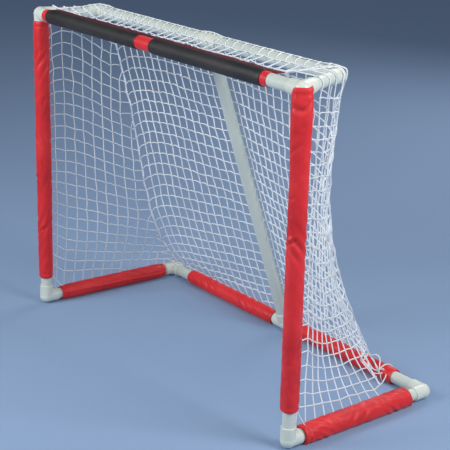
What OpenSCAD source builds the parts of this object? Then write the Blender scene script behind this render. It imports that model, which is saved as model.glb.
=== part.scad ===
// Street hockey goal: push-fit plastic pipe frame, padded fabric sleeves and a knotted net.
// X runs along the mouth, Y goes back into the net, Z is up and z = 0 is the floor.

/* [Frame] */
// Distance between the centre lines of the two posts
mouth_w = 1480; // [1100:10:2200]
// Height of the crossbar's centre line above the base bars'
frame_h = 1110; // [900:10:1400]
// Depth of the base, from the posts' centre line to the rear bar's
base_depth = 600; // [450:10:900]
// Depth of the top shelf, from the crossbar's centre line to the rear bar's
top_depth = 214; // [170:2:320]
// How far each rear corner of the base is set in from its post
base_inset = 14; // [0:1:40]
// How far the left end of the top shelf's rear bar is set in
top_inset_left = 72; // [0:1:100]
// How far the right end of the top shelf's rear bar is set in
top_inset_right = 90; // [0:1:110]
// Distance of the rear top tee to the right of the middle
top_tee_shift = 16; // [-40:1:40]

/* [Pipes and fittings] */
// Outside diameter of the pipe
pipe_od = 42.2; // [38:0.1:46]
// Wall of the pipe
pipe_wall = 3.6; // [2.5:0.1:5]
// Radial clearance of a pipe in its socket
pipe_fit = 0.1; // [0.05:0.01:0.2]
// Wall of a fitting's socket
socket_wall = 3.8; // [3:0.1:5]
// Depth of a fitting's socket
socket_depth = 23; // [18:1:35]
// Distance from a fitting's centre to its socket stops
socket_stop = 24; // [23:0.5:30]
// How much a fitting's round middle stands proud of its sockets
body_swell = 1; // [0.5:0.1:2]
// Chamfer at the mouth of a socket
mouth_chamfer = 1.2; // [0.5:0.1:2]
// Axial gap between a pipe's end and the socket stop
end_gap = 0.3; // [0.1:0.1:1]

/* [Padded sleeves] */
// Outside diameter of the sleeves on the posts and the base
pad_od = 58; // [55:0.5:66]
// Outside diameter of the thinner sleeve on the crossbar
bar_sleeve_od = 48.6; // [46:0.2:54]
// Radial clearance of a sleeve on what it covers
sleeve_fit = 0.3; // [0.1:0.1:1]
// Height above the base bars at which the left post's sleeve ends
left_post_bare = 82; // [60:1:200]
// Height above the base bars at which the right post's sleeve ends
right_post_bare = 103; // [60:1:200]
// Gap between a base side sleeve and the front fitting's socket
side_gap_front = 18; // [2:1:60]
// Gap between a base side sleeve and the rear fitting's socket
side_gap_rear = 8; // [2:1:60]
// Gap between a rear sleeve and the tee's socket
rear_gap_tee = 10; // [2:1:60]
// Gap between a rear sleeve and the corner's socket
rear_gap_corner = 87; // [2:1:200]
// Gap between the crossbar's sleeve and the left corner's socket
bar_gap_left = 1; // [0.5:0.5:40]
// Gap between the crossbar's sleeve and the right corner's socket
bar_gap_right = 95; // [2:1:200]
// Thickness of a black panel
panel_wall = 1.2; // [0.8:0.1:3]
// Width of the red band at each end of the crossbar's sleeve
end_band = 27; // [10:1:60]
// Width of the red band between the two black panels
middle_band = 84; // [10:1:200]
// Depth of the closure flap behind the crossbar's centre line
flap_reach = 54; // [40:1:70]
// Thickness of the closure flap
flap_wall = 3; // [2:0.5:6]
// Height of the closure flap above the crossbar's centre line
flap_rise = 18; // [10:0.5:19]

/* [Net] */
// Width of a net bar in this model
twine = 4; // [3:0.2:5]
// Diameter of the cords in the net's seams
cord_d = 6; // [5:0.2:8]
// Clearance of the net from what it lies on
net_gap = 0.3; // [0.2:0.1:1]
// Columns of openings in the back net, an even number
back_cols = 12; // [8:2:14]
// Rows of openings in the back net
back_rows = 13; // [6:1:14]
// Rows of openings across the top shelf
top_rows = 2; // [1:1:3]
// Columns of openings in a side net
side_cols = 5; // [3:1:6]
// How far the left seam is pulled in at its waist
seam_in_left = 80; // [20:1:120]
// How far the right seam is pulled in at its waist
seam_in_right = 30; // [10:1:60]
// How far both seams are pulled forward at their waist
seam_forward = 100; // [20:1:120]
// Share of the way down the left seam at which it is pulled in most
seam_waist_left = 0.75; // [0.4:0.05:0.8]
// Share of the way down the right seam at which it is pulled in most
seam_waist_right = 0.5; // [0.4:0.05:0.8]
// Distance of the left seam's lower end from the rear corner
tie_inset_left = 28; // [20:1:160]
// Distance of the right seam's lower end from the rear corner
tie_inset_right = 256; // [20:1:300]

/* [Hidden] */
$fn = 48;

LEFT = -1;
RIGHT = 1;

// Pipe and fitting radii
pipe_r = pipe_od / 2;
pipe_in_r = pipe_r - pipe_wall;
socket_r = pipe_r + pipe_fit;
hub_r = socket_r + socket_wall;
body_r = hub_r + body_swell;
socket_reach = socket_stop + socket_depth;

// Sleeve radii
pad_r = pad_od / 2;
bar_sleeve_r = bar_sleeve_od / 2;
panel_r = bar_sleeve_r + panel_wall;

// Heights of the base bars' and the top bars' centre lines
base_z = body_r;
top_z = base_z + frame_h;

// Half of a net bar's side, and half of its diagonal, by which it stands off what it lies on
net_half = twine / 2;
net_corner = net_half * sqrt(2);
cord_r = cord_d / 2;
pad_lie = pad_r + net_corner + net_gap;
seam_edge = cord_r + net_corner + net_gap;
// How far a seam starts outside the rear elbow's centre
seam_overhang = body_r * 0.5;

// The posts' centre plane, set so that the whole depth is centred on y = 0
front_reach = pad_r;
rear_reach = pad_r;
front_y = -(base_depth + rear_reach - front_reach) / 2;
rear_y = front_y + base_depth;
shelf_y = front_y + top_depth;

// Corners of the frame, on the pipes' centre lines
half_w = mouth_w / 2;
function post_x(side) = side * half_w;
function base_corner_x(side) = side * (half_w - base_inset);
function top_inset(side) = side < 0 ? top_inset_left : top_inset_right;
function top_corner_x(side) = side * (half_w - top_inset(side));
function base_front(side) = [post_x(side), front_y, base_z];
function base_rear(side) = [base_corner_x(side), rear_y, base_z];
function top_front(side) = [post_x(side), front_y, top_z];
function top_rear(side) = [top_corner_x(side), shelf_y, top_z];
base_tee_at = [0, rear_y, base_z];
top_tee_at = [top_tee_shift, shelf_y, top_z];

// Vector helpers
function unit(v) = v / norm(v);
function mix(a, b, t) = a * (1 - t) + b * t;
function clamp01(t) = min(1, max(0, t));
function ease(t) = let (c = clamp01(t)) c * c * (3 - 2 * c);
function angle_between(a, b) = acos(unit(a) * unit(b));

// A short bar meets the crossbar at less than a right angle, so its socket starts further out,
// with this much room between the two pipes
splay_room = 3;
function splay_stop(side) =
    let (bend = angle_between(top_rear(side) - top_front(side), [-side, 0, 0]))
    max(socket_stop, pipe_r / tan(bend / 2) + splay_room);

// Lean of the centre post from the vertical
post_axis = base_tee_at - top_tee_at;
lean = atan2(base_depth - top_depth, frame_h);

module aim(direction) {
    rotate([0, acos(unit(direction)[2]), atan2(direction[1], direction[0])]) children();
}

module between(a, b) {
    translate(a) aim(b - a) children();
}

// ---- Frame ----

// A pipe from one fitting's centre to another's, cut to its socket stops
module pipe(a, b, stop_a = socket_stop, stop_b = socket_stop) {
    length = norm(b - a) - stop_a - stop_b - 2 * end_gap;
    color("white") between(a, b) translate([0, 0, stop_a + end_gap]) difference() {
        cylinder(r = pipe_r, h = length);
        translate([0, 0, -1]) cylinder(r = pipe_in_r, h = length + 2);
    }
}

// Outside of one socket, with a chamfered mouth
module hub(reach) {
    rotate_extrude()
        polygon([
            [0, 0], [hub_r, 0], [hub_r, reach - mouth_chamfer],
            [hub_r - mouth_chamfer, reach], [0, reach]
        ]);
}

// Bearing of the side of a fitting that faces away from all its legs
function far_side(legs) =
    let (away = -[for (leg = legs) 1] * [for (leg = legs) unit(leg[0])])
    atan2(away[1], away[0]);

// A moulded fitting: legs is a list of [direction, distance of the stop]. The round middle and
// the hollow in it have their seam at the given bearing.
module fitting(centre, legs, bearing) {
    facing = [0, 0, bearing];
    color("ghostwhite") translate(centre) difference() {
        union() {
            rotate(facing) sphere(r = body_r);
            for (leg = legs) aim(leg[0]) hub(leg[1] + socket_depth);
        }
        rotate(facing) sphere(r = pipe_in_r + body_swell);
        for (leg = legs) aim(leg[0]) {
            cylinder(r = pipe_in_r, h = leg[1] + 1);
            translate([0, 0, leg[1]]) cylinder(r = socket_r, h = socket_depth + 1);
        }
    }
}

module elbow(centre, legs) {
    fitting(centre, legs, far_side(legs));
}

module top_corner(side) {
    elbow(top_front(side), [
        [[0, 0, -1], socket_stop],
        [[-side, 0, 0], socket_stop],
        [top_rear(side) - top_front(side), splay_stop(side)]
    ]);
}

module top_rear_elbow(side) {
    elbow(top_rear(side), [
        [[-side, 0, 0], socket_stop],
        [top_front(side) - top_rear(side), socket_stop]
    ]);
}

module base_front_elbow(side) {
    elbow(base_front(side), [
        [[0, 0, 1], socket_stop],
        [base_rear(side) - base_front(side), socket_stop]
    ]);
}

module base_rear_elbow(side) {
    elbow(base_rear(side), [
        [[-side, 0, 0], socket_stop],
        [base_front(side) - base_rear(side), socket_stop]
    ]);
}

module tee(centre, branch) {
    legs = [[[1, 0, 0], socket_stop], [[-1, 0, 0], socket_stop], [branch, socket_stop]];
    fitting(centre, legs, 0);
}

module left_post_pipe() { pipe(base_front(LEFT), top_front(LEFT)); }
module right_post_pipe() { pipe(base_front(RIGHT), top_front(RIGHT)); }
module crossbar_pipe() { pipe(top_front(LEFT), top_front(RIGHT)); }
module left_top_pipe() { pipe(top_front(LEFT), top_rear(LEFT), splay_stop(LEFT)); }
module right_top_pipe() { pipe(top_front(RIGHT), top_rear(RIGHT), splay_stop(RIGHT)); }
module rear_top_pipe_left() { pipe(top_rear(LEFT), top_tee_at); }
module rear_top_pipe_right() { pipe(top_tee_at, top_rear(RIGHT)); }
module left_base_pipe() { pipe(base_front(LEFT), base_rear(LEFT)); }
module right_base_pipe() { pipe(base_front(RIGHT), base_rear(RIGHT)); }
module rear_base_pipe_left() { pipe(base_rear(LEFT), base_tee_at); }
module rear_base_pipe_right() { pipe(base_tee_at, base_rear(RIGHT)); }
module centre_post_pipe() { pipe(top_tee_at, base_tee_at); }

module top_left_corner() { top_corner(LEFT); }
module top_right_corner() { top_corner(RIGHT); }
module top_rear_left_elbow() { top_rear_elbow(LEFT); }
module top_rear_right_elbow() { top_rear_elbow(RIGHT); }
module base_front_left_elbow() { base_front_elbow(LEFT); }
module base_front_right_elbow() { base_front_elbow(RIGHT); }
module base_rear_left_elbow() { base_rear_elbow(LEFT); }
module base_rear_right_elbow() { base_rear_elbow(RIGHT); }
module rear_top_tee() { tee(top_tee_at, post_axis); }
module rear_base_tee() { tee(base_tee_at, -post_axis); }

// ---- Sleeves ----

// A padded tube on the pipe from a to b, from one distance to another
module pad(a, b, from, to) {
    color("crimson") between(a, b) translate([0, 0, from]) difference() {
        cylinder(r = pad_r, h = to - from);
        translate([0, 0, -1]) cylinder(r = pipe_r + sleeve_fit, h = to - from + 2);
    }
}

// A sleeve on the base lies flat on the floor
module floor_pad(a, b, from, to) {
    margin = 10;
    difference() {
        pad(a, b, from, to);
        translate([-mouth_w, -base_depth, -pad_od - margin])
            cube([2 * mouth_w, 2 * base_depth, pad_od + margin]);
    }
}

// A post's sleeve runs up over the corner's socket to the underside of the crossbar
module post_sleeve(side, bare) {
    top = frame_h - hub_r - sleeve_fit;
    socket_end = frame_h - socket_reach - end_gap;
    color("crimson") translate(base_front(side)) difference() {
        translate([0, 0, bare]) cylinder(r = pad_r, h = top - bare);
        translate([0, 0, bare - 1]) cylinder(r = pipe_r + sleeve_fit, h = top - bare + 2);
        translate([0, 0, socket_end]) cylinder(r = hub_r + sleeve_fit, h = top - socket_end + 1);
    }
}

bar_sleeve_from = -half_w + socket_reach + bar_gap_left;
bar_sleeve_to = half_w - socket_reach - bar_gap_right;
bar_sleeve_len = bar_sleeve_to - bar_sleeve_from;
panel_len = (bar_sleeve_len - 2 * end_band - middle_band) / 2;

// A tube round the crossbar between two x positions
module bar_tube(from, to, inner, outer) {
    translate([from, front_y, top_z]) rotate([0, 90, 0]) difference() {
        cylinder(r = outer, h = to - from);
        translate([0, 0, -1]) cylinder(r = inner, h = to - from + 2);
    }
}

// The space that the closure flap takes, out to the given distance behind the crossbar
module flap_space(reach, wall, spare) {
    translate([bar_sleeve_from - spare, front_y, top_z + flap_rise - wall / 2])
        cube([bar_sleeve_len + 2 * spare, reach, wall]);
}

module crossbar_sleeve() {
    color("crimson") bar_tube(bar_sleeve_from, bar_sleeve_to, pipe_r + sleeve_fit, bar_sleeve_r);
}

module crossbar_flap() {
    color("firebrick") difference() {
        flap_space(flap_reach, flap_wall, 0);
        translate([bar_sleeve_from - 1, front_y, top_z])
            rotate([0, 90, 0]) cylinder(r = bar_sleeve_r, h = bar_sleeve_len + 2);
    }
}

// A black panel wraps the sleeve, with its edges meeting at the closure flap
module crossbar_panel(from) {
    color("dimgray") difference() {
        bar_tube(from, from + panel_len, bar_sleeve_r, panel_r);
        flap_space(pad_od, flap_wall + 2 * net_gap, 1);
    }
}

module left_post_sleeve() { post_sleeve(LEFT, left_post_bare); }
module right_post_sleeve() { post_sleeve(RIGHT, right_post_bare); }
module crossbar_panel_left() { crossbar_panel(bar_sleeve_from + end_band); }
module crossbar_panel_right() { crossbar_panel(bar_sleeve_to - end_band - panel_len); }

module base_side_sleeve(side) {
    a = base_front(side);
    b = base_rear(side);
    floor_pad(a, b, socket_reach + side_gap_front, norm(b - a) - socket_reach - side_gap_rear);
}

module rear_base_sleeve(side) {
    a = base_tee_at;
    b = base_rear(side);
    floor_pad(a, b, socket_reach + rear_gap_tee, norm(b - a) - socket_reach - rear_gap_corner);
}

module left_base_sleeve() { base_side_sleeve(LEFT); }
module right_base_sleeve() { base_side_sleeve(RIGHT); }
module rear_base_sleeve_left() { rear_base_sleeve(LEFT); }
module rear_base_sleeve_right() { rear_base_sleeve(RIGHT); }

// ---- Net ----

// The net is laid over the fittings, so it runs clear of their round middles. wrap_step is
// the angle between its rows where it curls over a bar of the top shelf.
wrap_end = 90 - lean;
wrap_step = wrap_end / 2;
bend_room = 1;
net_lie = (body_r + net_corner + net_gap) / cos(wrap_step / 2) + bend_room;

// Angle from the vertical at which the cord along a short bar lies, and the angle from it
// at which the nets on either side of it start
top_cord_at = 45;
cord_spread = asin(seam_edge / net_lie);

// The back net passes behind the centre post, so its foot lies this many degrees behind the
// top of the rear base bar there, and on top of the bar at its sides
tied_at = 50;

// Where the net leaves the rear top bar
leave_y = shelf_y + net_lie * sin(wrap_end);
leave_z = top_z + net_lie * cos(wrap_end);

function tie_inset(side) = side < 0 ? tie_inset_left : tie_inset_right;
function seam_in(side) = side < 0 ? seam_in_left : seam_in_right;
function seam_waist(side) = side < 0 ? seam_waist_left : seam_waist_right;

// The bow of a seam, drawn in and forward at a share t of the way down, most at its waist
function bow(side, t) =
    let (bent = pow(t, ln(0.5) / ln(seam_waist(side))))
    -sin(180 * bent) * [side * seam_in(side), seam_forward, 0];

// A seam from the rear corner of the top shelf, t = 0, to where it is tied, t = 1
function seam_top(side) = [top_corner_x(side) + side * seam_overhang, leave_y, leave_z];
function seam_foot(side) = [
    side * (half_w - base_inset - tie_inset(side)), rear_y,
    base_z + pad_r + cord_r + net_gap
];
function seam(side, t) = mix(seam_top(side), seam_foot(side), t) + bow(side, t);

// The foot of the back net: s is 0 at the centre post and 1 at the seam
function foot_point(x, s) =
    let (a = tied_at * (1 - s))
    [x, rear_y + pad_lie * sin(a), base_z + pad_lie * cos(a)];

// The back net runs straight down at the centre post and bows with the seam on each side
function back_point(i, j) =
    let (
        first = 1.7 * twine / frame_h,
        t = mix(first, 1, j / back_rows),
        across = 2 * i / back_cols - 1,
        side = across < 0 ? LEFT : RIGHT,
        s = abs(across),
        top_x = mix(top_tee_shift, seam_top(side)[0] - side * seam_edge, s),
        foot_x = mix(0, seam_foot(side)[0] - side * seam_edge, s)
    )
    mix([top_x, leave_y, leave_z], foot_point(foot_x, s), t) + s * bow(side, t);

// A point on the arc that the net makes over a short bar, swung out from the vertical
function short_bar_point(side, t, swing) =
    let (
        a = top_front(side),
        b = top_rear(side),
        across = unit(cross(b - a, [0, 0, side])),
        up = [0, 0, 1]
    )
    mix(a, b, t) + net_lie * (across * sin(swing) + up * cos(swing));

// Share of a short bar's length at which the net starts, level with the closure flap's edge
net_front_y = front_y + flap_reach + net_half + net_gap;
shelf_start = (net_front_y - front_y) / top_depth;

// The top net: a column curls over each short bar and the rest lie between them.
// The last two rows curl down over the rear bar.
top_cols = back_cols + 2;
function top_point(i, j) =
    let (
        side = i <= 1 ? LEFT : RIGHT,
        back = clamp01(j / top_rows),
        t = mix(shelf_start, 1, back),
        swing = (i == 0 || i == top_cols) ? top_cord_at - cord_spread : 0,
        rim = i <= 1 || i >= top_cols - 1,
        u = (i - 1) / (top_cols - 2),
        dip = [0, 0, (net_lie - flap_rise) * (1 - back)],
        level = mix(short_bar_point(LEFT, t, 0), short_bar_point(RIGHT, t, 0), u) - dip,
        shelf = rim ? short_bar_point(side, t, swing) : level,
        curl = max(0, j - top_rows) * wrap_step
    )
    j <= top_rows ? shelf
        : [shelf[0], shelf_y + net_lie * sin(curl), top_z + (shelf[2] - top_z) * cos(curl)];

// A side net curls over the short bar, then hangs to the base. Its front edge is behind the
// post and its foot on the base bar; at a share foot_turns_at of its way back, the foot starts
// to cross to the seam's foot.
side_rows = back_rows;
side_start = 1.2 * pad_r / top_depth;
foot_turns_at = 0.6;
function side_head(side, u, swing) = short_bar_point(side, mix(side_start, 1, u), swing);
function side_front(side, t) =
    let (
        head = side_head(side, 0, 90),
        foot = [post_x(side), front_y + pad_lie, base_z + pad_lie],
        settle = ease(4 * t)
    )
    [mix(head[0], foot[0], settle), mix(head[1], foot[1], settle), mix(head[2], foot[2], t)];
function side_rear(side, t) =
    let (outward = mix(1, 0.4, ease(4 * t)))
    seam(side, mix(0.03, 1, t)) + seam_edge * unit([side * outward, outward - 1, 0]);
function side_foot(side, u) =
    let (
        start = side_front(side, 1),
        end = side_rear(side, 1),
        on_bar = mix(start, [base_corner_x(side), end[1], start[2]], u)
    )
    [mix(on_bar[0], end[0], ease((u - foot_turns_at) / (1 - foot_turns_at))), on_bar[1], start[2]];
function side_point(side, i, j) =
    let (
        u = i / side_cols,
        t = (j - 1) / (side_rows - 1),
        head = side_head(side, u, 90) - mix(side_head(side, 0, 90), side_head(side, 1, 90), u),
        foot = side_foot(side, u) - mix(side_foot(side, 0), side_foot(side, 1), u)
    )
    j == 0 ? side_head(side, u, top_cord_at + cord_spread)
        : mix(side_front(side, t), side_rear_edge(side, t), u) + mix(head, foot, t);

// Next to the elbow the side net's rear edge starts level with the bar's outer side
function side_rear_edge(side, t) =
    mix(side_head(side, 1, 90), side_rear(side, t), ease(3 * t));

// Two triangles of a four-sided face
function quad(a, b, c, d) = [[a, b, c], [a, c, d]];

// A net of square bars through a grid of points: (cols + 1) * (rows + 1) crossings, with
// eight corners at each
module net(points, cols, rows) {
    function at(i, j) = points[i][j];
    function along_cols(i, j) = unit(at(min(cols, i + 1), j) - at(max(0, i - 1), j));
    function along_rows(i, j) = unit(at(i, min(rows, j + 1)) - at(i, max(0, j - 1)));
    function k(i, j, a, b, c) = 8 * (i * (rows + 1) + j) + a + 2 * b + 4 * c;
    corners = [
        for (i = [0 : cols], j = [0 : rows])
            let (u = along_cols(i, j), v = along_rows(i, j), n = unit(cross(u, v)))
            for (c = [-1, 1], b = [-1, 1], a = [-1, 1])
                at(i, j) + net_half * (a * u + b * v + c * n)
    ];
    crossings = [
        for (i = [0 : cols], j = [0 : rows]) each concat(
            quad(k(i, j, 0, 0, 1), k(i, j, 0, 1, 1), k(i, j, 1, 1, 1), k(i, j, 1, 0, 1)),
            quad(k(i, j, 0, 0, 0), k(i, j, 1, 0, 0), k(i, j, 1, 1, 0), k(i, j, 0, 1, 0)),
            i > 0 ? [] :
                quad(k(i, j, 0, 0, 0), k(i, j, 0, 1, 0), k(i, j, 0, 1, 1), k(i, j, 0, 0, 1)),
            i < cols ? [] :
                quad(k(i, j, 1, 0, 0), k(i, j, 1, 0, 1), k(i, j, 1, 1, 1), k(i, j, 1, 1, 0)),
            j > 0 ? [] :
                quad(k(i, j, 0, 0, 0), k(i, j, 0, 0, 1), k(i, j, 1, 0, 1), k(i, j, 1, 0, 0)),
            j < rows ? [] :
                quad(k(i, j, 0, 1, 0), k(i, j, 1, 1, 0), k(i, j, 1, 1, 1), k(i, j, 0, 1, 1))
        )
    ];
    bars_along_cols = [
        for (i = [0 : cols - 1], j = [0 : rows]) let (n = i + 1) each concat(
            quad(k(i, j, 1, 0, 1), k(i, j, 1, 1, 1), k(n, j, 0, 1, 1), k(n, j, 0, 0, 1)),
            quad(k(i, j, 1, 0, 0), k(n, j, 0, 0, 0), k(n, j, 0, 1, 0), k(i, j, 1, 1, 0)),
            quad(k(i, j, 1, 1, 0), k(n, j, 0, 1, 0), k(n, j, 0, 1, 1), k(i, j, 1, 1, 1)),
            quad(k(i, j, 1, 0, 0), k(i, j, 1, 0, 1), k(n, j, 0, 0, 1), k(n, j, 0, 0, 0))
        )
    ];
    bars_along_rows = [
        for (i = [0 : cols], j = [0 : rows - 1]) let (n = j + 1) each concat(
            quad(k(i, j, 0, 1, 1), k(i, n, 0, 0, 1), k(i, n, 1, 0, 1), k(i, j, 1, 1, 1)),
            quad(k(i, j, 0, 1, 0), k(i, j, 1, 1, 0), k(i, n, 1, 0, 0), k(i, n, 0, 0, 0)),
            quad(k(i, j, 1, 1, 0), k(i, j, 1, 1, 1), k(i, n, 1, 0, 1), k(i, n, 1, 0, 0)),
            quad(k(i, j, 0, 1, 0), k(i, n, 0, 0, 0), k(i, n, 0, 0, 1), k(i, j, 0, 1, 1))
        )
    ];
    color("aliceblue") polyhedron(corners, concat(crossings, bars_along_cols, bars_along_rows));
}

module back_net() {
    net([for (i = [0 : back_cols]) [for (j = [0 : back_rows]) back_point(i, j)]],
        back_cols, back_rows);
}

module top_net() {
    rows = top_rows + 2;
    net([for (i = [0 : top_cols]) [for (j = [0 : rows]) top_point(i, j)]], top_cols, rows);
}

module side_net(side) {
    net([for (i = [0 : side_cols]) [for (j = [0 : side_rows]) side_point(side, i, j)]],
        side_cols, side_rows);
}

module left_side_net() { side_net(LEFT); }
module right_side_net() { side_net(RIGHT); }

// A round cord swept along a list of points
module cord(path) {
    sides = 6;
    last = len(path) - 1;
    function heading(i) = unit(path[min(last, i + 1)] - path[max(0, i - 1)]);
    rings = [
        for (i = [0 : last])
            let (w = heading(i), u = unit(cross(w, [1, 0, 0])), v = cross(w, u))
            for (s = [0 : sides - 1])
                path[i] + cord_r * (cos(360 * s / sides) * u + sin(360 * s / sides) * v)
    ];
    walls = [
        for (i = [0 : last - 1], s = [0 : sides - 1])
            let (n = (s + 1) % sides, a = i * sides, b = a + sides)
            each quad(a + s, b + s, b + n, a + n)
    ];
    ends = [
        for (s = [1 : sides - 2]) each [
            [0, s, s + 1],
            [last * sides, last * sides + s + 1, last * sides + s]
        ]
    ];
    color("white") polyhedron(rings, concat(walls, ends));
}

module seam_cord(side) {
    steps = 20;
    cord([for (k = [0 : steps]) seam(side, mix(0.01, 1, k / steps))]);
}

// The cord along a short bar, from the crossbar's flap to the rear elbow
module top_cord(side) {
    a = short_bar_point(side, shelf_start, top_cord_at);
    b = short_bar_point(side, 1, top_cord_at);
    color("white") between(a, b) cylinder(r = cord_r, h = norm(b - a), $fn = 24);
}

module left_seam_cord() { seam_cord(LEFT); }
module right_seam_cord() { seam_cord(RIGHT); }
module left_top_cord() { top_cord(LEFT); }
module right_top_cord() { top_cord(RIGHT); }

left_post_pipe();
right_post_pipe();
crossbar_pipe();
left_top_pipe();
right_top_pipe();
rear_top_pipe_left();
rear_top_pipe_right();
left_base_pipe();
right_base_pipe();
rear_base_pipe_left();
rear_base_pipe_right();
centre_post_pipe();
top_left_corner();
top_right_corner();
top_rear_left_elbow();
top_rear_right_elbow();
base_front_left_elbow();
base_front_right_elbow();
base_rear_left_elbow();
base_rear_right_elbow();
rear_top_tee();
rear_base_tee();
left_post_sleeve();
right_post_sleeve();
crossbar_sleeve();
crossbar_flap();
crossbar_panel_left();
crossbar_panel_right();
left_base_sleeve();
right_base_sleeve();
rear_base_sleeve_left();
rear_base_sleeve_right();
back_net();
top_net();
left_side_net();
right_side_net();
left_seam_cord();
right_seam_cord();
left_top_cord();
right_top_cord();
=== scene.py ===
import math

import bpy
import numpy as np
from mathutils import Matrix, Vector


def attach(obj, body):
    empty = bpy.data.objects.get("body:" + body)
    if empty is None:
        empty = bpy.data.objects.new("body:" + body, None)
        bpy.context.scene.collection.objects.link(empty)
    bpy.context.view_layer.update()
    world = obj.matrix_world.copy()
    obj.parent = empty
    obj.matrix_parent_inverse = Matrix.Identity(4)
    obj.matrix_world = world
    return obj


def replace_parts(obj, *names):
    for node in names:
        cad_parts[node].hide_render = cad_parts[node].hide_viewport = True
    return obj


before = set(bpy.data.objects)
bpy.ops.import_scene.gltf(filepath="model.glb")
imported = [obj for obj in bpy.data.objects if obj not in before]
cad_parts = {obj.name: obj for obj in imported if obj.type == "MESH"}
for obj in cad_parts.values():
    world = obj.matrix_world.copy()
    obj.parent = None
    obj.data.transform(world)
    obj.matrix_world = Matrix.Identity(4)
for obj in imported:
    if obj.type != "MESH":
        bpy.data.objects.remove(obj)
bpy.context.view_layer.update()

rng = np.random.RandomState(20)
LEFT, RIGHT = -1, 1

# ---- Measures of the frame, in metres, as in part.scad ----
HALF_W = 0.740
FRONT_Y, REAR_Y, SHELF_Y = -0.300, 0.300, -0.086
BASE_Z, TOP_Z = 0.026, 1.136
PIPE_R, HUB_R, PAD_R, BAR_R = 0.0211, 0.025, 0.029, 0.0243
SOCKET = 0.047
TOP_X = {LEFT: -0.668, RIGHT: 0.650}
BASE_X = {LEFT: -0.726, RIGHT: 0.726}
TOP_TEE = np.array([0.016, SHELF_Y, TOP_Z])
BASE_TEE = np.array([0.0, REAR_Y, BASE_Z])
# the crossbar's sleeve, from end to end, and the free edge of the flap behind it
BAR_FROM, BAR_TO = -0.692, 0.598
BAR_LEN = BAR_TO - BAR_FROM
FLAP_Y, FLAP_Z = -0.246, 1.154
FLAP_DROOP = 0.0015
# the side base sleeves; the photo shows the right one fuller
BASE_PAD_R = {LEFT: 0.0287, RIGHT: 0.0330}
TWINE_R = 0.0020
# radii at which twine lies on a bare pipe and on a sleeve, and the height of the shelf's cords
ON_PIPE = PIPE_R + TWINE_R + 0.0006
ON_PAD = PAD_R + TWINE_R + 0.0006
SHELF_CORD_Z = TOP_Z + HUB_R + 0.0026
SIDE_NAME = {LEFT: "left", RIGHT: "right"}


def vec(*a):
    return np.array(a, float)


def top_front(side):
    return vec(side * HALF_W, FRONT_Y, TOP_Z)


def top_rear(side):
    return vec(TOP_X[side], SHELF_Y, TOP_Z)


def base_front(side):
    return vec(side * HALF_W, FRONT_Y, BASE_Z)


def base_rear(side):
    return vec(BASE_X[side], REAR_Y, BASE_Z)


# the two bars that run along x behind the crossbar, by their y and z
REAR_BAR, SHELF_BAR = (REAR_Y, BASE_Z), (SHELF_Y, TOP_Z)


def on_bar(bar, x, radius, angle):
    """A point round such a bar, the angle counted from its top towards the back."""
    return vec(x, bar[0] + radius * math.sin(angle), bar[1] + radius * math.cos(angle))


def unit(v):
    v = np.asarray(v, float)
    return v / np.maximum(np.linalg.norm(v, axis=-1, keepdims=True), 1e-12)


def mix(a, b, t):
    return a * (1 - t) + b * t


def ease(t):
    t = np.clip(t, 0, 1)
    return t * t * (3 - 2 * t)


def bell(d, width):
    return np.exp(-(d / width) ** 2)


# ---- Camera, fitted to nine corners of the frame in the photo ----
CAMERA_AT = (3.5887, -2.7650, 1.9720)
CAMERA_TURN = (-52.335, -18.357, 1.3007)
FOCAL_PX, PHOTO_PX, SENSOR = 1347.94, 450, 36


def put(name, data):
    """A new object in the scene."""
    o = bpy.data.objects.new(name, data)
    bpy.context.scene.collection.objects.link(o)
    return o


def make_camera():
    az, el, roll = (math.radians(a) for a in CAMERA_TURN)
    forward = Vector((math.sin(az) * math.cos(el), math.cos(az) * math.cos(el), math.sin(el)))
    right = Vector((math.cos(az), -math.sin(az), 0))
    up = right.cross(forward)
    rolled_right = right * math.cos(roll) + up * math.sin(roll)
    rolled_up = -right * math.sin(roll) + up * math.cos(roll)
    m = Matrix((rolled_right, rolled_up, -forward)).transposed().to_4x4()
    m.translation = CAMERA_AT
    data = bpy.data.cameras.new("camera")
    data.sensor_width, data.lens = SENSOR, SENSOR * FOCAL_PX / PHOTO_PX
    data.clip_end = 200
    cam = put("camera", data)
    cam.matrix_world = m
    bpy.context.scene.camera = cam


make_camera()


# ---- Colours and materials ----
def srgb(r, g, b):
    def lin(c):
        c /= 255
        return c / 12.92 if c <= 0.04045 else ((c + 0.055) / 1.055) ** 2.4
    return (lin(r), lin(g), lin(b), 1.0)


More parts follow.
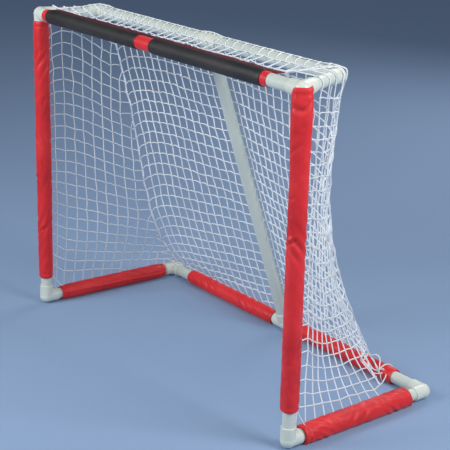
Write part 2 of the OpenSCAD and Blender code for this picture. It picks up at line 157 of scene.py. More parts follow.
class Paint:
    """A material built of nodes round one Principled BSDF."""

    def __init__(self, name, **values):
        self.m = bpy.data.materials.new(name)
        self.m.use_nodes = True
        self.t = self.m.node_tree
        self.b = self.t.nodes["Principled BSDF"]
        for k, v in values.items():
            self.b.inputs[k.replace("_", " ")].default_value = v
        self.link = self.t.links.new
        self.coords = self.t.nodes.new("ShaderNodeTexCoord")

    def node(self, kind, values=(), **props):
        n = self.t.nodes.new("ShaderNode" + kind)
        for k, v in props.items():
            setattr(n, k, v)
        for k, v in dict(values).items():
            n.inputs[k].default_value = v
        return n

    def feed(self, sockets, values):
        """Gives each socket its value, or links it where that is another node's output."""
        for socket, v in zip(sockets, values):
            if isinstance(v, (int, float, tuple)):
                socket.default_value = v
            else:
                self.link(v, socket)

    def noise(self, scale, detail, rough=0.5):
        n = self.node("TexNoise", {"Scale": scale, "Detail": detail, "Roughness": rough})
        self.link(self.coords.outputs["Object"], n.inputs["Vector"])
        return n.outputs["Fac"]

    def wave(self, scale, direction, turn=0.0):
        n = self.node("TexWave", {"Scale": scale}, bands_direction=direction)
        src = self.coords.outputs["UV"]
        if turn:
            mp = self.node("Mapping", {"Rotation": (0, 0, math.radians(turn))})
            self.link(src, mp.inputs["Vector"])
            src = mp.outputs["Vector"]
        self.link(src, n.inputs["Vector"])
        return n.outputs["Fac"]

    def ramp(self, fac, stops):
        n = self.node("ValToRGB")
        e = n.color_ramp.elements
        while len(e) < len(stops):
            e.new(0.5)
        for el, (p, c) in zip(e, stops):
            el.position, el.color = p, c
        self.link(fac, n.inputs["Fac"])
        return n.outputs["Color"]

    def remap(self, fac, lo, hi, a=0.0, b=1.0):
        n = self.node("MapRange", {"From Min": a, "From Max": b, "To Min": lo, "To Max": hi})
        self.link(fac, n.inputs["Value"])
        return n.outputs["Result"]

    def maths(self, op, a, b):
        n = self.node("Math", operation=op)
        self.feed(n.inputs, (a, b))
        return n.outputs[0]

    def blend(self, fac, a, b, how="MIX"):
        n = self.node("Mix", data_type="RGBA", blend_type=how)
        # the colour mix's factor and its two colours
        self.feed([n.inputs[k] for k in (0, 6, 7)], (fac, a, b))
        return n.outputs[2]

    def bump(self, height, strength, distance, chain=None):
        n = self.node("Bump", {"Strength": strength, "Distance": distance})
        self.link(height, n.inputs["Height"])
        if chain is not None:
            self.link(chain, n.inputs["Normal"])
        return n.outputs["Normal"]

    def to(self, socket, out):
        self.link(out, self.b.inputs[socket])


def plastic(name, base, shade, rough):
    p = Paint(name, Roughness=rough, Coat_Weight=0.12, Coat_Roughness=0.25)
    cloud = p.noise(5, 4)
    scuff = p.noise(60, 5, 0.7)
    colour = p.ramp(cloud, [(0.3, base), (0.75, shade)])
    marks = p.ramp(scuff, [(0.60, (1, 1, 1, 1)), (0.72, (0.90, 0.90, 0.87, 1))])
    p.to("Base Color", p.blend(0.6, colour, marks, "MULTIPLY"))
    p.to("Roughness", p.remap(scuff, rough - 0.06, rough + 0.16, 0.3, 0.8))
    fine = p.bump(p.noise(900, 2), 0.10, 0.0004)
    p.to("Normal", p.bump(p.noise(28, 3), 0.10, 0.0012, fine))
    return p.m


def cloth(name, base, dark, light, rough=0.52, sheen=0.0, weave=0.35):
    """Woven synthetic cloth. Its UV map is in metres round and along the piece."""
    p = Paint(name, Roughness=rough, Sheen_Weight=sheen, Sheen_Roughness=0.4)
    cloud = p.noise(7, 4, 0.6)
    colour = p.ramp(cloud, [(0.28, dark), (0.5, base), (0.74, light)])
    warp, weft = p.wave(420, "X"), p.wave(420, "Y")
    threads = p.maths("MULTIPLY", warp, weft)
    p.to("Base Color", p.blend(p.remap(threads, 0.0, 0.16), colour, dark))
    p.to("Roughness", p.remap(p.noise(16, 3), rough - 0.08, rough + 0.10, 0.3, 0.7))
    fine = p.bump(threads, weave, 0.0003)
    p.to("Normal", p.bump(p.noise(70, 4, 0.6), 0.30, 0.0012, fine))
    return p.m


def twine(name, base, dark, pitch):
    """Twisted or braided twine. Its UV map is in metres round and along the strand."""
    p = Paint(name, Roughness=0.72, Sheen_Weight=0.15, Subsurface_Weight=0.5,
              Subsurface_Radius=(1, 1, 1), Subsurface_Scale=0.004)
    lay = p.wave(pitch, "X", turn=35)
    fuzz = p.noise(300, 3)
    colour = p.ramp(p.noise(9, 3), [(0.3, dark), (0.62, base)])
    # painted shade: the twist's grooves, where lay is low and the bump lies deepest, are mixed
    # towards the dark colour
    p.to("Base Color", p.blend(p.remap(lay, 0.22, 0.0), colour, dark))
    p.to("Normal", p.bump(p.maths("ADD", lay, p.maths("MULTIPLY", fuzz, 0.5)), 0.5, 0.0004))
    return p.m


M_PIPE = plastic("pvc_pipe", srgb(207, 215, 206), srgb(196, 205, 196), 0.34)
M_FITTING = plastic("pvc_fitting", srgb(216, 222, 212), srgb(205, 212, 201), 0.30)
M_RED = cloth("red_nylon", srgb(220, 34, 38), srgb(196, 22, 28), srgb(230, 46, 48), 0.44, 0.10)
# the flap is the sleeves' red nylon; its darker red is painted shade, standing in for the shade its
# top lies in
M_FLAP_SHADED = cloth("red_nylon_painted_shade", srgb(104, 12, 18), srgb(78, 8, 12), srgb(120, 18, 22))
M_BLACK = cloth("black_satin", srgb(44, 42, 41), srgb(32, 31, 30), srgb(54, 51, 49), 0.55, 0.0, 0.2)
M_NET = twine("net_twine", srgb(238, 243, 246), srgb(214, 222, 229), 260)
M_CORD = twine("seam_cord", srgb(240, 243, 247), srgb(208, 214, 222), 160)


# ---- Mesh building ----
def add_mesh(name, verts, quads, material, uv):
    verts = np.asarray(verts, np.float32)
    quads = np.asarray(quads, np.int32)
    me = bpy.data.meshes.new(name)
    me.vertices.add(len(verts))
    me.vertices.foreach_set("co", verts.ravel())
    me.loops.add(quads.size)
    me.loops.foreach_set("vertex_index", quads.ravel())
    me.polygons.add(len(quads))
    me.polygons.foreach_set("loop_start", np.arange(0, quads.size, 4, dtype=np.int32))
    me.polygons.foreach_set("loop_total", np.full(len(quads), 4, np.int32))
    me.polygons.foreach_set("use_smooth", np.full(len(quads), True))
    layer = me.uv_layers.new(name="UVMap")
    layer.data.foreach_set("uv", np.asarray(uv, np.float32).ravel())
    me.update(calc_edges=True)
    me.validate()
    me.materials.append(material)
    o = put(name, me)
    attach(o, "root")
    return o


class Parts:
    """Collects pieces of mesh that become one object."""

    def __init__(self):
        self.v, self.q, self.uv, self.n = [], [], [], 0

    def add(self, verts, quads, uv):
        self.v.append(verts)
        self.q.append(np.asarray(quads) + self.n)
        self.uv.append(np.asarray(uv).reshape(-1, 2))
        self.n += len(verts)

    def build(self, name, material, slot):
        return add_mesh(name, np.concatenate(self.v), np.concatenate(self.q), material,
                        np.concatenate(self.uv))


def carried(path, start=(0.31, 0.52, 0.79)):
    """A direction across the path, carried along it without twist."""
    t = unit(np.gradient(path, axis=0))
    n = np.empty_like(path)
    u = unit(np.cross(t[0], start))
    for i in range(len(path)):
        u = unit(u - t[i] * (u @ t[i]))
        n[i] = u
    return t, n


def lengths(path):
    return np.r_[0, np.cumsum(np.linalg.norm(np.diff(path, axis=0), axis=1))]


def resample(path, step):
    run = lengths(path)
    at = np.linspace(0, run[-1], max(2, int(round(run[-1] / step)) + 1))
    return np.stack([np.interp(at, run, path[:, k]) for k in range(3)], 1)


def cells(i, s, j, k, width):
    """The quads between rows i and j and columns s and k of a grid of points."""
    return np.stack([i * width + s, i * width + k, j * width + k, j * width + s],
                    -1).reshape(-1, 4)


def cell_uv(u0, u1, v0, v1):
    """The corners of those quads on a UV map, in metres."""
    return np.stack([np.stack([u0, v0], -1), np.stack([u1, v0], -1), np.stack([u1, v1], -1),
                     np.stack([u0, v1], -1)], 2).reshape(-1, 4, 2)


def tube(parts, path, radius, sides=6, ref=None):
    """A strand swept along a path, each end closed by quads."""
    path = np.asarray(path, float)
    if ref is None:
        t, n = carried(path)
    else:
        t = unit(np.gradient(path, axis=0))
        ref = np.asarray(ref, float)
        n = unit(ref - t * (t @ ref)[:, None])
    b = np.cross(t, n)
    a = 2 * np.pi * np.arange(sides) / sides
    rings = path[:, None] + radius * (np.cos(a)[None, :, None] * n[:, None]
                                      + np.sin(a)[None, :, None] * b[:, None])
    m = len(path)
    i, s = np.indices((m - 1, sides))
    quads = cells(i, s, i + 1, (s + 1) % sides, sides)
    girth = 2 * np.pi * radius / sides
    run = lengths(path)
    uv = cell_uv(s * girth, (s + 1) * girth, run[i], run[i + 1])
    last = (m - 1) * sides
    caps = []
    for j in range(1, sides - 2, 2):
        caps.append([0, j + 2, j + 1, j])
        caps.append([last, last + j, last + j + 1, last + j + 2])
    corners = np.array([[0, 0], [girth, 0], [girth, girth], [0, girth]])
    parts.add(rings.reshape(-1, 3), np.concatenate([quads, np.array(caps)]),
              np.concatenate([uv, np.zeros((len(caps), 4, 2)) + corners]))


def spans(p, leave, arrive, n):
    """A line through the points p, n to a span, that leaves and reaches each as told."""
    u = np.linspace(0, 1, n, endpoint=False)[None, :, None]
    a, b, ta, tb = p[:-1, None], p[1:, None], leave[:, None], arrive[:, None]
    h = ((2 * u**3 - 3 * u**2 + 1) * a + (u**3 - 2 * u**2 + u) * ta
         + (-2 * u**3 + 3 * u**2) * b + (u**3 - u**2) * tb)
    return np.concatenate([h.reshape(-1, 3), p[-1:]])


def smooth(p, n):
    """A smooth line through the points p, n to a span."""
    tangents = np.gradient(p, axis=0)
    return spans(p, tangents[:-1], tangents[1:], n)


# ---- Where the net hangs ----
SEAM_TOP = {s: vec(TOP_X[s] + s * 0.013, SHELF_Y + 0.0298, TOP_Z + 0.0104)
            for s in (LEFT, RIGHT)}
SEAM_FOOT = {LEFT: vec(-0.698, REAR_Y, 0.0583), RIGHT: vec(0.470, REAR_Y, 0.0583)}
SEAM_IN = {LEFT: 0.080, RIGHT: 0.030}
SEAM_WAIST = {LEFT: 0.75, RIGHT: 0.5}
SEAM_FORWARD = 0.100


def bow(side, t):
    """How far the seam stands inside the straight line from its top to its foot."""
    bent = np.power(t, math.log(0.5) / math.log(SEAM_WAIST[side]))
    tight = (0.010 if side > 0 else 0.004) * bell(t - 0.09, 0.07)
    return (-np.sin(np.pi * bent)[..., None] * vec(side * SEAM_IN[side], SEAM_FORWARD, 0)
            - tight[..., None] * vec(side, 0, 0))


def seam(side, t):
    t = np.asarray(t, float)
    return mix(SEAM_TOP[side], SEAM_FOOT[side], t[..., None]) + bow(side, t)


def supports():
    """What the net lies on: the ends and the radius of each bar, pad and fitting."""
    lie = TWINE_R + 0.0004
    pipe, hub, pad, elbow = PIPE_R + lie, HUB_R + lie, PAD_R + lie, HUB_R + lie + 0.0008
    out = []
    for side in (LEFT, RIGHT):
        front, rear = top_front(side), top_rear(side)
        out += [(TOP_TEE, rear, pipe), (front, rear, pipe),
                (rear, rear + vec(-side * SOCKET, 0, 0), elbow),
                (rear, rear + unit(front - rear) * SOCKET, elbow),
                (vec(side * 0.052, REAR_Y, BASE_Z), vec(side * 0.595, REAR_Y, BASE_Z), pad),
                (base_front(side), base_rear(side), pad)]
    reach, axis = vec(SOCKET, 0, 0), unit(BASE_TEE - TOP_TEE)
    return out + [(TOP_TEE - reach, TOP_TEE + reach, elbow),
                  (BASE_TEE - reach, BASE_TEE + reach, hub), (TOP_TEE, BASE_TEE, pipe),
                  (TOP_TEE, TOP_TEE + axis * SOCKET, hub)]


SUPPORTS = supports()


def push_out(p):
    """Moves the points that lie inside a support to its surface."""
    for a, b, r in SUPPORTS:
        ab = b - a
        t = np.clip(((p - a) @ ab) / (ab @ ab), 0, 1)
        d = p - (a + t[..., None] * ab)
        dist = np.linalg.norm(d, axis=-1)
        hit = dist < r
        if hit.any():
            p[hit] += d[hit] * ((r - dist[hit]) / np.maximum(dist[hit], 1e-6))[:, None]


# ---- The panel over the shelf and down the back ----
COLS, SHELF_ROWS, BACK_ROWS = 30, 5, 27
SHELF_PITCH = 0.0445
# the angle round the rear sleeve, in degrees, at which the back net's columns end
WELT = 84


def row_height(k):
    """Height of the back net's k-th row at the middle; the rows close up towards the floor."""
    return 1.129 - 0.04458 * k + 0.000163 * k * k


def back_point(side, share, z):
    """A point of the back net: share 0 at the middle post and 1 on the seam."""
    foot_y = REAR_Y + 0.020 * (1 - share)
    top = vec(mix(TOP_TEE[0], SEAM_TOP[side][0], share), SEAM_TOP[side][1], SEAM_TOP[side][2])
    foot = vec(mix(0.0, SEAM_FOOT[side][0], share), foot_y, SEAM_FOOT[side][2])
    t = np.clip((top[2] - z) / (top[2] - foot[2]), 0, 1)
    return mix(top, foot, t) + share * bow(side, np.array(t))


def bar_column_x(i):
    """Where the i-th column crosses the shelf's rear bar."""
    return mix(TOP_X[LEFT] - 0.006, TOP_X[RIGHT] + 0.006, i / COLS)


def shelf_point(i, k):
    """The k-th point of a column on the shelf: from the flap's edge to the rear bar's top."""
    s = i / COLS
    front = vec(mix(BAR_FROM + 0.004, BAR_TO - 0.004, s), FLAP_Y, FLAP_Z - FLAP_DROOP + 0.001)
    x = bar_column_x(i)
    if k == SHELF_ROWS - 1:
        return on_bar(SHELF_BAR, x, ON_PIPE, math.radians(24))
    # between its taut borders the net hangs down to the rear bar, which it meets on its front
    u = k * SHELF_PITCH / (SHELF_Y - FLAP_Y)
    taut = mix(front[2], SHELF_CORD_Z, u)
    slack = front[2] - 0.027 * math.sin(math.pi * u ** 0.8)
    return vec(mix(front[0], x, u), mix(FLAP_Y, SHELF_Y, u),
               mix(taut, slack, ease(min(i, COLS - i) / 2.5)))


def over_bar(i):
    """The points at which a column lies on the rear bar, from low on its front to its top."""
    near_border = min(i, COLS - i) < 3
    return [on_bar(SHELF_BAR, bar_column_x(i), ON_PIPE, a)
            for a in np.radians((-38, -8) if near_border else (-76, -46, -12))]


def drift(seed, shape, size):
    """Slow unevenness over a grid, as a few seeded waves."""
    r = np.random.RandomState(seed)
    i, j = np.indices(shape)
    out = np.zeros(shape)
    terms = 7
    for _ in range(terms):
        a, b = r.uniform(-0.9, 0.9, 2)
        out += np.sin(a * i + b * j + r.uniform(0, 6.28))
    return size * out / terms ** 0.5


def panel_knots():
    """The panel's knots by column and row, and each column's end on the rear sleeve."""
    n = SHELF_ROWS + BACK_ROWS
    p = np.full((COLS + 1, n, 3), np.nan)
    ends = np.zeros((COLS + 1, 3, 3))
    lift, shove = drift(61, (COLS + 1, n), 0.0022), drift(62, (COLS + 1, n), 0.0016)
    for i in range(COLS + 1):
        x_bar = bar_column_x(i)
        side = LEFT if x_bar < TOP_TEE[0] else RIGHT
        off_seam = min(i, COLS - i)
        share = min(1.0, abs(x_bar - TOP_TEE[0]) / abs(SEAM_TOP[side][0] - TOP_TEE[0]))
        share, loose = (share, 1.0) if off_seam else (1.0, 0.0)
        for k in range(SHELF_ROWS):
            p[i, k] = shelf_point(i, k)
            if 0 < k < SHELF_ROWS - 1 and off_seam:
                p[i, k] += rng.normal(0, 0.0016, 3)
        behind = math.radians(50 * (1 - share))
        foot_x = share * SEAM_FOOT[side][0]
        foot_z = on_bar(REAR_BAR, foot_x, ON_PAD, behind)[2]
        for k in range(BACK_ROWS):
            z = row_height(k)
            tilt = 0.012 + 0.053 * ease((0.62 - z) / 0.5)
            z -= 0.055 * math.exp(-off_seam / 1.6) * ease((k + 1.5) / 4) + tilt * share
            z += loose * (lift[i, k] + rng.normal(0, 0.0011))
            if z < foot_z + 0.016:
                break
            q = back_point(side, share, z)
            q = q + loose * vec(shove[i, k] + rng.normal(0, 0.0012), rng.normal(0, 0.0010), 0)
            p[i, SHELF_ROWS + k] = q
        ends[i] = [on_bar(REAR_BAR, foot_x, ON_PAD, a)
                   for a in (behind, mix(behind, math.radians(WELT), 0.5), math.radians(WELT))]
    ok = ~np.isnan(p[..., 0])
    flat = p[ok]
    push_out(flat)
    p[ok] = flat
    return p, ends


def knots(parts, centres, dirs):
    """A small tight knot at each crossing: a ring of twine pulled flat round the strands."""
    n = len(centres)
    round_ring, round_twine = 7, 5
    i, j = np.indices((round_ring, round_twine))
    A, C = 2 * np.pi * i / round_ring, 2 * np.pi * j / round_twine
    major, minor = 0.0025, 0.0018
    reach = major + minor * np.cos(C)
    ring = np.stack([reach * np.cos(A), reach * np.sin(A), 1.25 * minor * np.sin(C)],
                    -1).reshape(-1, 3)
    w = unit(dirs + rng.normal(0, 0.35, (n, 3)))
    u = unit(np.cross(w, unit(rng.normal(0, 1, (n, 3)))))
    v = np.cross(w, u)
    basis = np.stack([u, v, w], 1)
    verts = (ring[None] @ basis) + centres[:, None]
    after, above = (i + 1) % round_ring, (j + 1) % round_twine
    q = np.stack([i * round_twine + j, after * round_twine + j, after * round_twine + above,
                  i * round_twine + above], -1).reshape(-1, 4)
    quads = (q[None] + len(ring) * np.arange(n)[:, None, None]).reshape(-1, 4)
    uv = cell_uv(i, i + 1, j, j + 1) * 0.002
    parts.add(verts.reshape(-1, 3), quads, np.tile(uv.reshape(-1, 2), (n, 1)))


def row_strand(parts, p, up, ref, leave, arrive):
    """A row's strand: flat where it leaves a knot, then down steeply to the next."""
    p = np.asarray(p, float)
    d = np.diff(p, axis=0)
    size = np.linalg.norm(d, axis=1, keepdims=True)
    uneven = 1 + rng.normal(0, 0.3, (2, len(d), 1))
    line = spans(p, d + leave * uneven[0] * size * up[:-1],
                 d - arrive * uneven[1] * size * up[1:], 6)
    tube(parts, line, TWINE_R, ref=ref)


def strand(parts, p, ref):
    tube(parts, smooth(np.asarray(p, float), 5), TWINE_R, ref=ref)


def build_panel():
    p, ends = panel_knots()
    top, back = Parts(), Parts()
    n = SHELF_ROWS + BACK_ROWS
    ok = ~np.isnan(p[..., 0])
    up = np.zeros_like(p)
    up[:, :-1] = unit(np.nan_to_num(p[:, :-1] - p[:, 1:], nan=0.0) + vec(0, 0, 1e-6))
    up[:, -1] = vec(0, 0, 1)
    for j in range(1, n):
        shelf = j < SHELF_ROWS
        cols = np.nonzero(ok[:, j])[0]
        for run in np.split(cols, np.nonzero(np.diff(cols) > 1)[0] + 1):
            if not len(run):
                continue
            line, u = list(p[run, j]), list(up[run, j])
            if not shelf:
                # a row that slopes into the rear sleeve ends on it
                for end, step in ((run[0], -1), (run[-1], 1)):
                    if 0 < end < COLS:
                        q = ends[end + step, 0]
                        line.insert(0, q) if step < 0 else line.append(q)
                        u.insert(0, u[0]) if step < 0 else u.append(u[-1])
            if len(line) > 1:
                parts, leave, arrive = (top, 0.15, 0.2) if shelf else (back, 0.35, 0.5)
                row_strand(parts, line, np.array(u), (0, 0.7, 0.7), leave, arrive)
    for i in range(1, COLS):
        k = np.nonzero(ok[i])[0]
        on_shelf = [*p[i, :SHELF_ROWS - 1], *over_bar(i), *p[i, SHELF_ROWS - 1:SHELF_ROWS + 1]]
        strand(top, on_shelf, (1, 0, 0))
        strand(back, np.concatenate([p[i, k[k >= SHELF_ROWS]], ends[i]]), (1, 0, 0))
    tangent = np.gradient(np.nan_to_num(p), axis=0)
    normal = unit(np.cross(tangent, up) + vec(0, 1e-6, 0))
    # no knots on the borders and at the flap
    ok[[0, -1]] = False
    ok[:, 0] = False
    for parts, rows in ((top, np.arange(n) < SHELF_ROWS), (back, np.arange(n) >= SHELF_ROWS)):
        knots(parts, p[ok & rows], normal[ok & rows])
    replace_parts(top.build("shelf_netting", M_NET, "net_twine"), "top_net")
    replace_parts(back.build("back_netting", M_NET, "net_twine"), "back_net")


build_panel()


# ---- Side nets ----
FIRST_COL = -0.254
SIDE_COLS, SIDE_ROWS = 12, 24
LAST_COL = {LEFT: SIDE_COLS, RIGHT: SIDE_COLS + 1}
FIRST_ROW, ROW_PITCH = {LEFT: 0.112, RIGHT: 0.106}, {LEFT: 0.0455, RIGHT: 0.0430}
# the height of the net's foot and from there to its top, for shares of its height
NET_FOOT, NET_H = 0.058, 1.08
# how high on the post's sleeve the net's front corner is tied
CORNER_Z = {LEFT: 0.112, RIGHT: 0.134}
SEAM_LINE = {s: seam(s, np.linspace(0, 1, 500)) for s in (LEFT, RIGHT)}


def seam_at(side, z):
    s = SEAM_LINE[side]
    return np.interp(z, s[::-1, 2], s[::-1, 0]), np.interp(z, s[::-1, 2], s[::-1, 1])


def nearest_on_seam(side, p):
    line = SEAM_LINE[side]
    return line[np.argmin(np.linalg.norm(line - p, axis=1))]


def bar_x(side, y):
    """How far out the base's side bar is at y."""
    return side * mix(HALF_W, abs(BASE_X[side]), (y - FRONT_Y) / (REAR_Y - FRONT_Y))


def side_x(side, y, z):
    """The side net's face: ruled from the post to the seam, and on the base sleeve at its foot."""
    sx, sy = seam_at(side, z)
    share = np.clip((y - FRONT_Y) / np.maximum(sy - FRONT_Y, 0.02), 0, 1)
    ruled = side * HALF_W + (sx - side * HALF_W) * share
    near = np.exp(-((z - SEAM_FOOT[side][2]) / 0.10))
    if side > 0:
        near = near * (1 - ease((y - 0.13) / 0.10))
    x = mix(ruled, bar_x(side, y) - (0.014 if side > 0 else 0.010), near)
    # under the top bar the net comes in from the bar's outer side
    out = side * mix(HALF_W, abs(TOP_X[side]), (y - FRONT_Y) / (SHELF_Y - FRONT_Y)) + side * 0.024
    return mix(x, out, ease((z - 0.80) / 0.31) * (y < SHELF_Y))


def border_point(side, y):
    """The cord that edges the shelf's net, from the flap's end to the elbow."""
    a = vec(BAR_FROM if side < 0 else BAR_TO, FLAP_Y, FLAP_Z - FLAP_DROOP + 0.002)
    b = vec(TOP_X[side] + side * 0.004, SHELF_Y, SHELF_CORD_Z)
    return mix(a, b, np.clip((y - FLAP_Y) / (SHELF_Y - FLAP_Y), 0, 1))


def left_pitch(h):
    """The left side net's cells close up over the lower half of its height."""
    return 0.0435 - 0.0065 * ease(h / 0.45)


def column_y(side, i, z):
    """How far back a side net's column stands at height z."""
    if i == 0:
        return FIRST_COL
    if side < 0:
        return FIRST_COL + 0.037 + left_pitch((z - NET_FOOT) / NET_H) * (i - 1)
    high = ease((z - 0.80) / 0.30)
    lean = max(0.0, 0.036 - 0.007 * (i - 1)) * ease((z - 0.08) / 0.28) * (1 - high)
    lean += (0.0035 * (i - 1) - 0.006) * high
    follow = 0.85 * (i / SIDE_COLS) ** 3 * (seam_at(side, z)[1] - REAR_Y)
    return -0.213 + 0.0403 * (i - 1) + lean + follow


def side_height(side, i, z1):
    """Height of a side net's row at column i, from its height z1 at the second column."""
    h = (z1 - NET_FOOT) / NET_H
    if i == 0:
        return z1 + (0.030 - 0.048 * h if side < 0 else 0.012)
    if side > 0:
        fall = 0.125 * (1 - math.exp(-(z1 - 0.06) / 0.14)) * mix(1, 0.3, ease((h - 0.3) / 0.5))
        return z1 - fall * (1 - math.exp(-(i - 1) / 3.5))
    drop = 0.0
    for c in range(1, i):
        bump = (0.2, 0.45, 0.85, 1.0, 0.7)[min(c, 5) - 1]
        drop += (0.13 + 0.65 * h * mix(1.0, bump, h)) * left_pitch(h)
    return z1 - drop


def side_knots(side):
    """The side net's knots by column and row, and which columns end on the seam."""
    grid, on_seam = {}, {}
    for i in range(LAST_COL[side] + 1):
        on_seam[i] = column_y(side, i, TOP_Z) > SHELF_Y - 0.004
        for k in range(SIDE_ROWS):
            z = side_height(side, i, FIRST_ROW[side] + ROW_PITCH[side] * k)
            y = column_y(side, i, z)
            if z < BASE_Z + PAD_R + 0.012:
                continue
            if z > TOP_Z - 0.034:
                break
            if y > seam_at(side, z)[1] - 0.013:
                on_seam[i] = True
                break
            uneven = rng.normal(0, 1, 3) * (0.0015, 0.0010, 0.0015)
            grid[i, k] = vec(side_x(side, y, z), y, z) + uneven
    flat = np.array(list(grid.values()))
    push_out(flat)
    return dict(zip(grid, flat)), on_seam


def column_foot(side, i):
    """The two points by which a column lies on the sleeve under it, its end first."""
    if side > 0 and i > 9:
        # the net's corner is gathered on the rear sleeve
        return [on_bar(REAR_BAR, x, PAD_R + TWINE_R, -t)
                for x, t in ((0.556, 0.70), (0.600 - 0.020 * (i - 9), 1.25))]
    y = column_y(side, i, BASE_Z + PAD_R)
    lie = BASE_PAD_R[side] + TWINE_R * 0.3
    a, end = (math.radians(34), 0.35) if side > 0 else (math.radians(-24), -0.35)
    return [vec(bar_x(side, y) - side * lie * math.sin(t), y, BASE_Z + lie * math.cos(t))
            for t in (a + end, a)]


def column_top(side, i, last, on_seam):
    """The points past a column's last knot: on the post, on the seam, or over the top bar."""
    if i == 0 and side > 0:
        return [vec(HALF_W + 0.008, FRONT_Y + PAD_R - 0.002, last[2] + 0.022)]
    if on_seam:
        return [nearest_on_seam(side, last + vec(0, 0, 0.034))]
    front, rear, y = top_front(side), top_rear(side), column_y(side, i, TOP_Z)
    c = mix(front, rear, (y - FRONT_Y) / (SHELF_Y - FRONT_Y))
    bar = unit(rear - front)
    out = unit(vec(bar[1], -bar[0], 0))
    out = out if out[0] * side > 0 else -out
    hub = min(np.linalg.norm(c - rear), np.linalg.norm(c - front))
    r = (HUB_R + 0.0008 if hub < SOCKET + 0.004 else PIPE_R) + TWINE_R + 0.0004
    over = [c + r * (out * math.cos(t) + vec(0, 0, 1) * math.sin(t))
            for t in np.radians((2, 26, 50, 74, 96))]
    return [*over, border_point(side, y)]


def side_row(parts, side, p, first, last):
    """One run of a row's knots, led on to the post in front and to the seam or sleeve behind."""
    h = (p[0][2] - NET_FOOT) / NET_H
    if first == 0:
        rise = 0.020 - 0.043 * h if side < 0 else 0.010
        z = max(p[0][2] + rise, CORNER_Z[side])
        p.insert(0, vec(side * HALF_W, FRONT_Y + PAD_R - 0.001, z))
    end = p[-1]
    if (column_y(side, last + 1, end[2]) > seam_at(side, end[2])[1] - 0.014
            or (side > 0 and last == LAST_COL[side])):
        q = nearest_on_seam(side, end + vec(0, 0.020, -0.008 if h > 0.2 else 0.0))
        if np.linalg.norm(q - end) < 0.085:
            p.append(q)
    elif end[2] < 0.13:
        y = end[1] + 0.030
        p.append(vec(bar_x(side, y) - 0.012, y, BASE_Z + PAD_R - 0.002))
    if len(p) > 1:
        up = np.tile(vec(0, 0, 1), (len(p), 1))
        leave, arrive = (0.05, -0.05) if h < 0.15 else (0.30, 0.05)
        row_strand(parts, p, up, (1, 0, 0.001), leave, arrive)


def side_net(side):
    parts, centres = Parts(), []
    grid, on_seam = side_knots(side)
    columns = range(LAST_COL[side] + 1)
    for i in columns:
        own = [grid[i, k] for k in range(SIDE_ROWS) if (i, k) in grid]
        p = column_foot(side, i) + own
        p += column_top(side, i, p[-1], on_seam[i])
        strand(parts, p, (1, 0, 0) if on_seam[i] else (0, 1, 0))
        centres += own
    for k in range(SIDE_ROWS):
        row = [i for i in columns if (i, k) in grid]
        for run in np.split(np.array(row, int), np.nonzero(np.diff(row) > 1)[0] + 1):
            if len(run):
                side_row(parts, side, [grid[i, k] for i in run], run[0], run[-1])
    # the corner between the post's sleeve and the base's
    a = vec(side * HALF_W, FRONT_Y + PAD_R - 0.002, CORNER_Z[side] - 0.006)
    b = vec(side * (HALF_W - 0.002), FRONT_Y + 0.070, BASE_Z + PAD_R - 0.001)
    strand(parts, [a, mix(a, b, 0.5) - vec(0, 0, 0.004), b], (1, 0, 0))
    knots(parts, np.array(centres), np.tile(vec(side, 0, 0), (len(centres), 1)))
    name = SIDE_NAME[side]
    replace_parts(parts.build(name + "_side_netting", M_NET, "net_twine"), name + "_side_net")


for s in (LEFT, RIGHT):
    side_net(s)


# ---- Cords ----
SEAM_CORD_R, EDGE_CORD_R, TIE_R = 0.0027, 0.0024, 0.0022
# the loose loop at the right seam's foot
LOOP = np.array([[0.470, 0.292, 0.062], [0.492, 0.300, 0.074], [0.508, 0.304, 0.070],
                 [0.520, 0.298, 0.0615], [0.533, 0.284, 0.0585], [0.545, 0.272, 0.046],
                 [0.549, 0.266, 0.030]])


def lacing(path, radius, pitch, phase):
    """A line wound round a cord."""
    t, n = carried(path)
    b = np.cross(t, n)
    a = 2 * np.pi * lengths(path) / pitch + phase
    return path + radius * (np.cos(a)[:, None] * n + np.sin(a)[:, None] * b)


def tie(parts, x, wander, radius, start, stop):
    """A turn of cord round the rear bar, from one angle to another, flat on the floor below."""
    a = np.radians(np.linspace(start, stop, 60))
    ring = np.stack([x + wander * np.sin(a * 0.5), REAR_Y + radius * np.sin(a),
                     np.maximum(BASE_Z + radius * np.cos(a), 0.0025)], 1)
    tube(parts, resample(ring, 0.005), TIE_R, 8)


